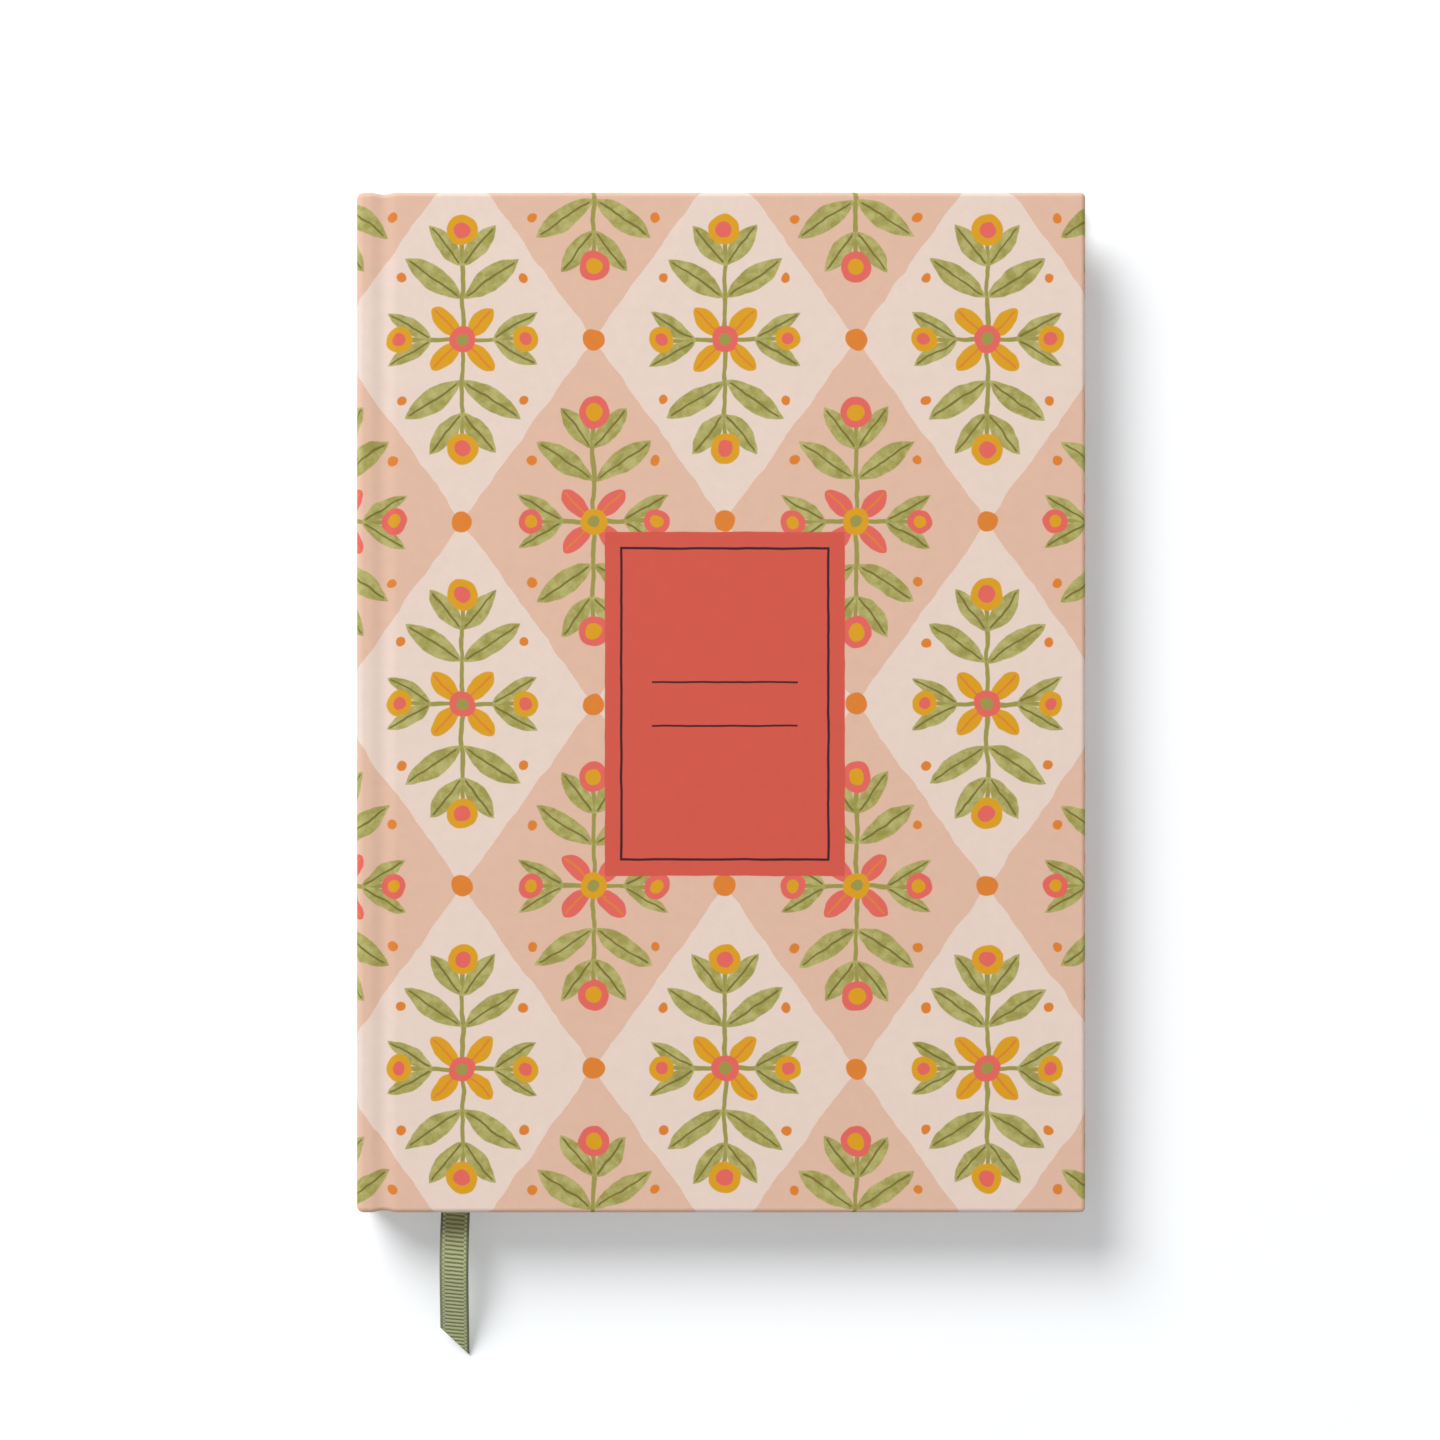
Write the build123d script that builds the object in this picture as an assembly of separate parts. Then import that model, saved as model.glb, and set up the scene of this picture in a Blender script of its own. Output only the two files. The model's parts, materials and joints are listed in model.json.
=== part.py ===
from build123d import *
import os
from math import radians, tan

# A hardback address book with a step-cut A to Z index and a ribbon marker, closed, on its back cover.
# Millimetres. X runs from the spine to the fore edge, Y from the tail to the head, Z up through the book.
# The origin is under the middle of the back cover, on the table.

os.makedirs("parts", exist_ok=True)

# Case: two cover boards and a spine board in one printed covering, with a groove beside the spine
cover_width = 150.0
cover_height = 210.0
board_thickness = 2.5
spine_board_thickness = 2.0
covering_thickness = 0.3
turn_in = 14.0
board_edge_round = 0.4
spine_edge_round = 0.7
groove_width = 5.8
groove_depth = 1.0
groove_shoulder_share = 0.2
groove_end_inset = 0.35
glue_line = 0.02

# Endpapers: each is pasted to its board on one side and free on the other
endpaper_thickness = 0.2
pastedown_margin = 3.5

# Book block: folded sections, smaller than the covers by an even border called the square
square = 3.0
section_thickness = 0.72
leaf_gap = 0.06

# Step-cut index down the fore edge, one tab for each pair of letters
letter_pairs = ["ab", "cd", "ef", "gh", "ij", "kl", "mn", "op", "qr", "st", "uv", "wx", "yz"]
tab_depth = 7.0
tab_corner_radius = 3.0
step_corner_radius = 1.2

# Linings on the back of the block, behind the hollow of the spine
hollow_back = 0.5
liner_thickness = 0.25
liner_setback = 3.0
mull_thickness = 0.3
headband_bead_radius = 0.8
headband_skirt_length = 10.0
headband_skirt_gap = 1.0

# Ribbon marker: lies in a dent on the first page of its section and hangs out past the covers at the tail
ribbon_page = "qr"
ribbon_width = 6.0
ribbon_thickness = 0.25
ribbon_gutter = 0.6
ribbon_dent_clearance = 0.3
ribbon_short_side = 25.6
ribbon_long_side = 31.9

# Its route on the page: shares of its drift from the gutter, at shares of the page's height from the head
ribbon_drift = 12.7
page_shares = [(0.0, 0.01), (0.31, 0.18), (0.76, 0.44), (0.98, 0.72), (1.0, 0.90), (0.98, 1.0)]
# Its route outside, straight in plan: shares of the free length, with shares of its height at the page
free_shares = [(0.10, 1.01), (0.27, 1.32), (0.43, 1.29), (0.61, 0.96), (1.0, 0.0)]
tip_drift_share = 0.93

# An arc at a corner of a bent line takes up this share of the shorter run beside it
arc_share = 0.45

# Cutting shapes run past what they cut by this much
overshoot = 1.0

# Heights through the closed book, from the table up
back_board_bottom = covering_thickness + glue_line
back_board_top = back_board_bottom + board_thickness
back_turn_in_top = back_board_top + glue_line + covering_thickness
back_pastedown_top = back_turn_in_top + glue_line + endpaper_thickness
back_flyleaf_bottom = back_pastedown_top + leaf_gap
sections_bottom = back_flyleaf_bottom + endpaper_thickness + leaf_gap
section_pitch = section_thickness + leaf_gap
sections_top = sections_bottom + len(letter_pairs) * section_pitch - leaf_gap
front_flyleaf_bottom = sections_top + leaf_gap
book_thickness = front_flyleaf_bottom + endpaper_thickness + leaf_gap + back_pastedown_top

# Places across the book, from the spine's outer face to the fore edge
spine_face = -cover_width / 2
fore_edge = cover_width / 2
spine_inside = spine_face + 2 * covering_thickness + 2 * glue_line + spine_board_thickness
hinge_edge = spine_inside + groove_width
liner_back = spine_inside + hollow_back
mull_back = liner_back + liner_thickness + glue_line
block_back = mull_back + mull_thickness + leaf_gap
block_fore = fore_edge - square
fold_radius = section_thickness / 2

# Places along the book, from the tail to the head
cover_head = cover_height / 2
block_head = cover_head - square
block_tail = -block_head
tab_height = 2 * block_head / len(letter_pairs)
board_head = cover_head - covering_thickness - glue_line
pastedown_head = cover_head - pastedown_margin
window_head = board_head - turn_in


def slab(x_low, x_high, y_low, y_high, z_low, z_high):
    """A plain sheet between two corners."""
    size = (x_high - x_low, y_high - y_low, z_high - z_low)
    return Pos(x_low, y_low, z_low) * Box(*size, align=(Align.MIN, Align.MIN, Align.MIN))


def round_free_edges(sheet, joint_x, radius):
    """Rounds every edge of a sheet apart from those on the side where it meets the groove."""
    free = [edge for edge in sheet.edges() if abs(edge.center().X - joint_x) > radius]
    return fillet(free, radius)


def to_front(piece):
    """The like piece of the front cover, mirrored from the back one."""
    return mirror(piece, about=Plane.XY.offset(book_thickness / 2))


def cover_board():
    board_fore = fore_edge - covering_thickness - glue_line
    board = slab(hinge_edge, board_fore, -board_head, board_head, back_board_bottom, back_board_top)
    return round_free_edges(board, hinge_edge, board_edge_round)


def cover_wrap():
    """The printed covering round a cover board: its outer face, three turned edges and the turn-ins."""
    whole = slab(hinge_edge, fore_edge, -cover_head, cover_head, 0, back_turn_in_top)
    whole = round_free_edges(whole, hinge_edge, board_edge_round + covering_thickness)
    nest_fore = fore_edge - covering_thickness
    nest_head = cover_head - covering_thickness
    nest_top = back_turn_in_top - covering_thickness
    nest_joint = hinge_edge - overshoot
    nest = slab(nest_joint, nest_fore, -nest_head, nest_head, covering_thickness, nest_top)
    nest = round_free_edges(nest, nest_joint, board_edge_round)
    window_fore = nest_fore - turn_in
    window_top = back_turn_in_top + overshoot
    window = slab(nest_joint, window_fore, -window_head, window_head, board_thickness, window_top)
    return whole - nest - window


def pastedown():
    """The endpaper on the inside of a cover, which steps down from the turn-ins onto the bare board."""
    paste_fore = fore_edge - pastedown_margin
    low = back_turn_in_top + glue_line
    sheet = slab(hinge_edge, paste_fore, -pastedown_head, pastedown_head, low, back_pastedown_top)
    step_fore = fore_edge - covering_thickness - turn_in - glue_line
    step_head = window_head - glue_line
    floor = back_board_top + glue_line
    tray = slab(hinge_edge, step_fore, -step_head, step_head, floor, back_pastedown_top)
    hollow_fore = step_fore - endpaper_thickness
    hollow_head = step_head - endpaper_thickness
    hollow_floor = floor + endpaper_thickness
    hollow_top = back_pastedown_top + overshoot
    hollow_joint = hinge_edge - overshoot
    hollow = slab(hollow_joint, hollow_fore, -hollow_head, hollow_head, hollow_floor, hollow_top)
    return sheet + tray - hollow


def spine_board():
    board_back = spine_face + covering_thickness + glue_line
    board_front = board_back + spine_board_thickness
    board_top = book_thickness - back_board_bottom
    board = slab(board_back, board_front, -board_head, board_head, back_board_bottom, board_top)
    return round_free_edges(board, board_front, spine_edge_round)


def spine_wrap():
    """The covering round the spine board, turned in at the head and the tail."""
    whole = slab(spine_face, spine_inside, -cover_head, cover_head, 0, book_thickness)
    whole = round_free_edges(whole, spine_inside, spine_edge_round + covering_thickness)
    nest_back = spine_face + covering_thickness
    nest_front = spine_inside - covering_thickness
    nest_head = cover_head - covering_thickness
    nest_top = book_thickness - covering_thickness
    nest = slab(nest_back, nest_front, -nest_head, nest_head, covering_thickness, nest_top)
    nest = round_free_edges(nest, nest_front, spine_edge_round)
    middle = (nest_back + nest_front) / 2
    window_front = spine_inside + overshoot
    window = slab(middle, window_front, -window_head, window_head, covering_thickness, nest_top)
    return whole - nest - window


def bend_radii(points):
    """The largest arc that fits at each corner of a line."""
    radii = []
    for before, corner, after in zip(points, points[1:], points[2:]):
        first = Vector(*corner) - Vector(*before)
        second = Vector(*after) - Vector(*corner)
        shorter = min(first.length, second.length)
        radii.append(arc_share * shorter / tan(radians(first.get_angle(second)) / 2))
    return radii


def bent_line(points):
    return FilletPolyline(*points, radius=bend_radii(points))


def joint_strip():
    """The covering across the groove, pressed into a soft dip between the spine and a cover board."""
    start = spine_inside + leaf_gap
    end = hinge_edge - leaf_gap
    middle = (start + end) / 2
    shoulder = groove_shoulder_share * (end - start)
    left = start + shoulder
    right = end - shoulder
    dip = bent_line([(start, 0), (left, 0), (middle, groove_depth), (right, 0), (end, 0)])
    inside = Pos(0, covering_thickness) * dip
    sides = [Line(dip @ 0, inside @ 0), Line(dip @ 1, inside @ 1)]
    section = make_face([dip, inside] + sides)
    strip_head = cover_head - groove_end_inset
    return extrude(Plane.XZ * section, strip_head, both=True)


def tab_bottom(index):
    return block_head - (index + 1) * tab_height


def section_bottom(index):
    """The first pair of letters is at the top of the closed book."""
    return sections_top - section_thickness - index * section_pitch


def leaf_outline(index):
    """A leaf in plan: full width down to the bottom of its tab, and cut back below it."""
    if index == len(letter_pairs) - 1:
        edge = Line((block_fore, block_tail), (block_fore, block_head))
    else:
        step = tab_bottom(index)
        cut_back = block_fore - tab_depth
        corners = [(cut_back, block_tail), (cut_back, step), (block_fore, step), (block_fore, block_head)]
        edge = FilletPolyline(*corners, radius=[step_corner_radius, tab_corner_radius])
    rest = Polyline(edge @ 1, (block_back, block_head), (block_back, block_tail), edge @ 0)
    return make_face([edge, rest])


def book_section(index):
    """One folded section of leaves: a rounded fold at the spine and its own step at the fore edge."""
    bottom = section_bottom(index)
    leaves = extrude(Pos(0, 0, bottom) * leaf_outline(index), section_thickness)
    fold_x = block_back + fold_radius
    end = block_fore + overshoot
    top = bottom + section_thickness
    middle = bottom + fold_radius
    bend = ThreePointArc((fold_x, bottom), (block_back, middle), (fold_x, top))
    run = Polyline((fold_x, top), (end, top), (end, bottom), (fold_x, bottom))
    folded = extrude(Plane.XZ * make_face([bend, run]), block_head + overshoot, both=True)
    return leaves & folded


def flyleaf(bottom):
    return slab(block_back, block_fore, block_tail, block_head, bottom, bottom + endpaper_thickness)


def spine_lining(back, thickness, setback):
    half = block_head - setback
    return slab(back, back + thickness, -half, half, sections_bottom, sections_top)


def headband():
    """A bead that sits on the head of the block, with a skirt glued to the back of the sections."""
    skirt_back = block_back - leaf_gap - mull_thickness
    skirt_low = block_head - headband_skirt_length
    skirt_high = block_head + leaf_gap + headband_bead_radius
    skirt_front = skirt_back + mull_thickness
    skirt = slab(skirt_back, skirt_front, skirt_low, skirt_high, sections_bottom, sections_top)
    bead_x = skirt_back + headband_bead_radius
    bead_end = Pos(bead_x, skirt_high, sections_bottom) * Circle(headband_bead_radius)
    return skirt + extrude(bead_end, sections_top - sections_bottom)


# The ribbon's route down its middle: from the gutter at the head, along the page and down to the table
ribbon_section = letter_pairs.index(ribbon_page)
ribbon_level = section_bottom(ribbon_section) + section_thickness - ribbon_thickness / 2
ribbon_rest = ribbon_thickness / 2
ribbon_start = block_back + ribbon_gutter + ribbon_width / 2
free_length = square + ribbon_long_side
ribbon_route = []
for drift, share in page_shares:
    page_x = ribbon_start + drift * ribbon_drift
    ribbon_route.append((page_x, block_head - share * 2 * block_head, ribbon_level))
tail_drift_share = page_shares[-1][0]
for share, height in free_shares:
    drift = tail_drift_share + share * (tip_drift_share - tail_drift_share)
    free_x = ribbon_start + drift * ribbon_drift
    free_z = ribbon_rest + height * (ribbon_level - ribbon_rest)
    ribbon_route.append((free_x, block_tail - share * free_length, free_z))


def band_face(line, shift):
    """The flat area that a line sweeps when it is shifted."""
    moved = Pos(*shift) * line
    return make_face([line, moved, Line(line @ 0, moved @ 0), Line(line @ 1, moved @ 1)])


def ribbon_band(width, thickness):
    """A flat band along the route: its plan, drawn through the book, kept only where its side view is."""
    plan_points = ribbon_route[:len(page_shares)] + [ribbon_route[-1]]
    edge = bent_line([(x - width / 2, y) for x, y, z in plan_points])
    plan = extrude(band_face(edge, (width, 0)), book_thickness)
    side_points = [ribbon_route[0]] + ribbon_route[len(page_shares) - 1:]
    underside = bent_line([(y, z - thickness / 2) for x, y, z in side_points])
    side = extrude(Plane.YZ * band_face(underside, (0, thickness)), cover_width, both=True)
    return plan & side


def ribbon():
    """The band with its slanted cut end, longer on the side away from the spine."""
    band = ribbon_band(ribbon_width, ribbon_thickness)
    tip_x = ribbon_route[-1][0]
    short_end = -cover_head - ribbon_short_side
    long_end = -cover_head - ribbon_long_side
    corners = [
        (tip_x - ribbon_width / 2, short_end),
        (tip_x + ribbon_width / 2, long_end),
        (tip_x + ribbon_width / 2, long_end - overshoot),
        (tip_x - ribbon_width, long_end - overshoot),
        (tip_x - ribbon_width, short_end),
    ]
    return band - extrude(make_face(Polyline(*corners, close=True)), book_thickness)


def ribbon_dent():
    """The dent that the ribbon presses into its page."""
    room = ribbon_band(ribbon_width + 2 * ribbon_dent_clearance, ribbon_thickness)
    lift = Pos(0, 0, -leaf_gap) * room
    return room + lift


pieces = {}
pieces["back_board"] = cover_board()
pieces["back_cover_wrap"] = cover_wrap()
pieces["back_pastedown"] = pastedown()
pieces["back_joint_strip"] = joint_strip()
pieces["back_flyleaf"] = flyleaf(back_flyleaf_bottom)
pieces["spine_board"] = spine_board()
pieces["spine_wrap"] = spine_wrap()
pieces["spine_liner"] = spine_lining(liner_back, liner_thickness, liner_setback)
pieces["mull"] = spine_lining(mull_back, mull_thickness, headband_skirt_length + headband_skirt_gap)
pieces["headband"] = headband()
pieces["tailband"] = mirror(pieces["headband"], about=Plane.XZ)
for number, pair in enumerate(letter_pairs):
    pieces[f"section_{pair}"] = book_section(number)
pieces["ribbon_marker"] = ribbon()
pieces[f"section_{ribbon_page}"] -= ribbon_dent()
pieces["front_flyleaf"] = flyleaf(front_flyleaf_bottom)
for name in ("board", "cover_wrap", "pastedown", "joint_strip"):
    pieces[f"front_{name}"] = to_front(pieces[f"back_{name}"])

for name, piece in pieces.items():
    piece.label = name
    export_step(piece, f"parts/{name}.step")

route_length = sum((Vector(*b) - Vector(*a)).length for a, b in zip(ribbon_route, ribbon_route[1:]))
volume_share = pieces["ribbon_marker"].volume / (ribbon_width * ribbon_thickness * route_length)
print("book thickness", round(book_thickness, 3))
print("ribbon bend radii", [round(r) for r in bend_radii(ribbon_route)])
print("ribbon length", round(route_length, 1), "volume share", round(volume_share, 3))
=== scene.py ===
import json
import math
from functools import partial

import bmesh
import bpy
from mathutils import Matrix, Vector


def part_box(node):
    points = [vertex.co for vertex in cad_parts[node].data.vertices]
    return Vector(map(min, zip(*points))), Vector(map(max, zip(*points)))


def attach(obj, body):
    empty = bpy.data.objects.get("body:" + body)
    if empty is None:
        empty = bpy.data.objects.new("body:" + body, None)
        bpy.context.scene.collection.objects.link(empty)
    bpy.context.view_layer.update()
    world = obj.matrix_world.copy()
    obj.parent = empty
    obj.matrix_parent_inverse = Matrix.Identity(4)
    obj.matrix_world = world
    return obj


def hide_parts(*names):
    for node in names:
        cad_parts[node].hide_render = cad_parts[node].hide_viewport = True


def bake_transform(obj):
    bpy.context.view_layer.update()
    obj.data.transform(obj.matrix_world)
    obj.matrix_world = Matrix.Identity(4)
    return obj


# A hardback address book, closed, on its back cover, with a ribbon marker out at the tail.
# Sizes are in metres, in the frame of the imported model: X to the fore edge, Y to the head, Z up.
# Places on printed paper and on cloth are in millimetres on the flat sheet.
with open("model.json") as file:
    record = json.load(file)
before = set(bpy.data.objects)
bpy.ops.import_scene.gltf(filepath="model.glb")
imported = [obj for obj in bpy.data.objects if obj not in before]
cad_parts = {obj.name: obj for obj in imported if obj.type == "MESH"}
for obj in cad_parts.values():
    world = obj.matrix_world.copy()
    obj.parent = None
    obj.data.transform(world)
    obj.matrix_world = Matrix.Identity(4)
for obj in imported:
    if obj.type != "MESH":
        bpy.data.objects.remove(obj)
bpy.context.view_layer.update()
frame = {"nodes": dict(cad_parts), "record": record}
body_of_node = {}
for body, nodes in frame["record"]["behaviour"]["bodies"].items():
    for node in nodes:
        body_of_node[node] = body


# The folded sections
# Thirteen sections of three sheets each, in ivory writing paper with printed rules and tinted tabs. Each
# sheet is folded round the ones inside it, and the index is cut in steps down the trimmed fore edge.
letter_pairs = ["ab", "cd", "ef", "gh", "ij", "kl", "mn", "op", "qr", "st", "uv", "wx", "yz"]
sheets_in_section = 3
leaf_thickness = 0.0001
leaf_pitch = 0.00012
trim_jitter = 0.00007
free_length = 0.03
fold_zone = 0.0006
fold_columns = 4
tab_depth = 0.007
tab_corner_radius = 0.003
step_corner_radius = 0.0012
corner_points = 6
gutter_start = -0.07236
gutter_end = -0.06656
gutter_columns = 12
leaf_curl = 0.022
curl_columns = 8
sharp_angle = math.radians(35)
weld_distance = 1e-7
millimetres = 1000.0
block_low, block_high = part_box("section_yz")
section_half = (block_high.z - block_low.z) / 2
fold_x = block_low.x + section_half
cut_back = block_high.x - tab_depth
tab_height = (block_high.y - block_low.y) / len(letter_pairs)


def link(value, socket):
    """Joins another node's socket to this one, or sets this one to a plain value."""
    if isinstance(value, bpy.types.NodeSocket):
        socket.id_data.links.new(value, socket)
    else:
        socket.default_value = value


def tree_of(*values):
    """The node tree of the first socket among some values."""
    return next(value.id_data for value in values if isinstance(value, bpy.types.NodeSocket))


def add(tree, kind, inputs=None, **settings):
    """A new node, with its settings and with its inputs by name or by number."""
    made = tree.nodes.new(kind)
    for name, value in settings.items():
        setattr(made, name, value)
    for key, value in (inputs or {}).items():
        link(value, made.inputs[key])
    return made


def calc(operation, *operands):
    """The result of one sum on sockets and numbers."""
    made = tree_of(*operands).nodes.new("ShaderNodeMath")
    made.operation = operation
    for socket, value in zip(made.inputs, operands):
        link(value, socket)
    return made.outputs[0]


def result(tree, kind, inputs=None, **settings):
    """What a new node puts out first."""
    return add(tree, kind, inputs, **settings).outputs[0]


def scaled(vector, amount):
    """A vector times a number."""
    tree = tree_of(vector, amount)
    return result(tree, "ShaderNodeVectorMath", {0: vector, "Scale": amount}, operation="SCALE")


def flat_parts(vector):
    """The first two parts of a vector."""
    return add(vector.id_data, "ShaderNodeSeparateXYZ", {0: vector}).outputs[:2]


def noise(place, scale, detail):
    """Soft noise from 0 to 1."""
    return result(place.id_data, "ShaderNodeTexNoise", {"Vector": place, "Scale": scale, "Detail": detail})


def store(geometry, name, value, data_type="FLOAT", domain="POINT"):
    """Keeps a value on a geometry under a name."""
    made = add(
        geometry.id_data,
        "GeometryNodeStoreNamedAttribute",
        {"Geometry": geometry, "Name": name},
        data_type=data_type,
        domain=domain,
    )
    link(value, made.inputs["Value"])
    return made.outputs[0]


def stored(tree, name, data_type="FLOAT"):
    """A value that a geometry keeps under a name."""
    return result(tree, "GeometryNodeInputNamedAttribute", {"Name": name}, data_type=data_type)


def new_tree(name, kind, inputs, outputs):
    """An empty node group with named sockets, and its input and output nodes."""
    tree = bpy.data.node_groups.new(name, kind)
    for in_out, sockets in (("INPUT", inputs), ("OUTPUT", outputs)):
        for label, socket_type in sockets.items():
            tree.interface.new_socket(name=label, in_out=in_out, socket_type="NodeSocket" + socket_type)
    return tree, tree.nodes.new("NodeGroupInput"), tree.nodes.new("NodeGroupOutput")


def new_object(name, data):
    """An object at the origin of the scene."""
    made = bpy.data.objects.new(name, data)
    bpy.context.scene.collection.objects.link(made)
    return made


def new_piece(name, bm):
    """A mesh object at the origin, made from a bmesh, with smooth faces."""
    bmesh.ops.recalc_face_normals(bm, faces=bm.faces)
    mesh = bpy.data.meshes.new(name)
    bm.to_mesh(mesh)
    bm.free()
    mesh.shade_smooth()
    return new_object(name, mesh)


def lay_flat(bm, flat_place):
    """Gives a sheet its map: where each of its corners falls on the flat paper."""
    uv = bm.loops.layers.uv.new("UVMap")
    for face in bm.faces:
        for loop in face.loops:
            loop[uv].uv = flat_place(loop.vert)


def shown_mesh(thing):
    """What an object shows, with its modifiers and curves worked out, as a new plain mesh."""
    bpy.context.view_layer.update()
    return bpy.data.meshes.new_from_object(thing.evaluated_get(bpy.context.evaluated_depsgraph_get()))


def grow(piece, tree, values):
    """Runs a Geometry Nodes tree on a piece, and keeps what comes out as its plain mesh."""
    modifier = piece.modifiers.new(tree.name, "NODES")
    modifier.node_group = tree
    for item in tree.interface.items_tree:
        if item.in_out == "INPUT" and item.name in values:
            modifier[item.identifier] = values[item.name]
    mesh = shown_mesh(piece)
    mesh.name = piece.name
    piece.modifiers.clear()
    piece.data = mesh
    mesh.shade_smooth()
    mesh.set_sharp_from_angle(angle=sharp_angle)


def new_material(name, roughness, specular=0.4):
    """A material with its own Principled BSDF, whose plain values are set on its sockets."""
    material = bpy.data.materials.new(name)
    material.use_nodes = True
    shader = material.node_tree.nodes["Principled BSDF"]
    shader.inputs["Roughness"].default_value = roughness
    shader.inputs["Specular IOR Level"].default_value = specular
    return material, material.node_tree, shader


def srgb(code):
    """A colour from the six hex digits that a colour picker gives."""
    parts = [int(code[k:k + 2], 16) / 255 for k in (0, 2, 4)]
    return [c / 12.92 if c <= 0.04045 else ((c + 0.055) / 1.055) ** 2.4 for c in parts] + [1.0]


def mix(share, first, second):
    """The first colour where the share is 0, and the second where it is 1."""
    made = share.id_data.nodes.new("ShaderNodeMix")
    made.data_type = "RGBA"
    link(share, made.inputs[0])
    link(first, made.inputs[6])
    link(second, made.inputs[7])
    return made.outputs[2]


def soft_step(value, edge, width):
    """Rises from 0 to 1 as the value passes the edge."""
    made = add(value.id_data, "ShaderNodeMapRange", {0: value}, interpolation_type="SMOOTHSTEP")
    made.inputs[1].default_value = edge - width / 2
    made.inputs[2].default_value = edge + width / 2
    return made.outputs[0]


def within(value, limit, width):
    """Falls from 1 to 0 as the value passes the limit."""
    return soft_step(calc("MULTIPLY", value, -1.0), -limit, width)


def print_place(tree):
    """A place on the flat sheet in millimetres, from the piece's own map."""
    return scaled(result(tree, "ShaderNodeUVMap", uv_map="UVMap"), millimetres)


def roughen(shader, height, strength, distance):
    """Gives a surface a fine relief."""
    values = {"Height": height, "Strength": strength, "Distance": distance}
    link(result(shader.id_data, "ShaderNodeBump", values), shader.inputs["Normal"])


# Paper fibre, which every paper and board of the book has: soft mottling and a fine tooth
fibre_tree, fibre_in, fibre_out = new_tree(
    "Paper fibre",
    "ShaderNodeTree",
    {"Place": "Vector", "Mottle": "Float"},
    {"Shade": "Float", "Tooth": "Float"},
)
cloud = noise(fibre_in.outputs["Place"], scale=0.09, detail=4)
speck = noise(fibre_in.outputs["Place"], scale=2.6, detail=5)
both = calc("ADD", cloud, speck)
swing = calc("MULTIPLY", calc("SUBTRACT", both, 1.0), fibre_in.outputs["Mottle"])
link(calc("ADD", swing, 1.0), fibre_out.inputs["Shade"])
link(speck, fibre_out.inputs["Tooth"])


def finish_paper(shader, place, colour, mottle, relief):
    """Gives a colour the paper fibre's mottling, and the surface its tooth."""
    values = {"Place": place, "Mottle": mottle}
    fibre = add(shader.id_data, "ShaderNodeGroup", values, node_tree=fibre_tree)
    tone = colour[:3] if isinstance(colour, list) else colour
    link(scaled(tone, fibre.outputs["Shade"]), shader.inputs["Base Color"])
    roughen(shader, fibre.outputs["Tooth"], strength=0.25, distance=relief)


# Printed page: ivory, with grey-green rules in blocks of five and a blush tint on the tabs
ivory = srgb("F4EDDF")
rule_colour = srgb("AEB49A")
tab_tint = srgb("EBC9B6")
rule_spacing = 8.4
rules_in_block = 5
rule_half_width = 0.16
rule_softness = 0.1
rule_end_softness = 0.2
rules_below_middle = 92.4
rules_left = -56
rules_right = 60
rules_reach = 93.0
tint_start = 65.6
tint_softness = 0.4
page_material, tree, shader = new_material("ruled_page", roughness=0.72)
place = print_place(tree)
page_x, page_y = flat_parts(place)
row = calc("DIVIDE", calc("ADD", page_y, rules_below_middle), rule_spacing)
off_rule = calc("ABSOLUTE", calc("SUBTRACT", calc("FRACT", row), 0.5))
on_rule = within(calc("MULTIPLY", off_rule, rule_spacing), rule_half_width, rule_softness)
block_row = calc("MODULO", calc("FLOOR", row), rules_in_block)
on_rule = calc("MULTIPLY", on_rule, calc("GREATER_THAN", block_row, 0.5))
past_gutter = soft_step(page_x, rules_left, rule_end_softness)
before_tab = within(page_x, rules_right, rule_end_softness)
inside = calc("MULTIPLY", past_gutter, before_tab)
tall = calc("LESS_THAN", calc("ABSOLUTE", page_y), rules_reach)
on_rule = calc("MULTIPLY", on_rule, calc("MULTIPLY", inside, tall))
page_colour = mix(soft_step(page_x, tint_start, tint_softness), ivory, tab_tint)
page_colour = mix(on_rule, page_colour, rule_colour)
finish_paper(shader, place, page_colour, mottle=0.05, relief=0.00001)

# Trimmed edge of the leaves: the same paper, a little greyer and more mottled
edge_material, tree, shader = new_material("trimmed_leaf_edge", roughness=0.8, specular=0.25)
finish_paper(shader, print_place(tree), srgb("E9E0CF"), mottle=0.12, relief=0.00001)

# The tree that folds the sheets: it stacks copies of the flat sheet, folds each of them and thickens it
fold_tree, fold_in, fold_out = new_tree(
    "Folded section",
    "GeometryNodeTree",
    {
        "Geometry": "Geometry", "Sheets": "Int", "Thickness": "Float", "Pitch": "Float",
        "Fold Radius": "Float", "Fold Zone": "Float", "Fold X": "Float", "Middle": "Float", "Jitter": "Float",
        "Free Length": "Float", "Seed": "Int", "Page": "Material", "Edge": "Material",
    },
    {"Geometry": "Geometry"},
)
given = fold_in.outputs
node = partial(result, fold_tree)
points = node("GeometryNodePoints", {"Count": given["Sheets"]})
copies = node("GeometryNodeInstanceOnPoints", {"Points": points, "Instance": given["Geometry"]})
copy_number = node("GeometryNodeInputIndex")
numbered = store(copies, "sheet", copy_number, "INT", "INSTANCE")
real = node("GeometryNodeRealizeInstances", {"Geometry": numbered})
sheet = stored(fold_tree, "sheet", "INT")
flat_x, flat_y = flat_parts(node("GeometryNodeInputPosition"))
reach = calc("ABSOLUTE", flat_x)
side = calc("SIGN", flat_x)
radius = calc("SUBTRACT", given["Fold Radius"], calc("MULTIPLY", sheet, given["Pitch"]))
turned = calc("MINIMUM", calc("DIVIDE", reach, given["Fold Zone"]), 1.0)
angle = calc("MULTIPLY", turned, math.pi / 2)
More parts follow.
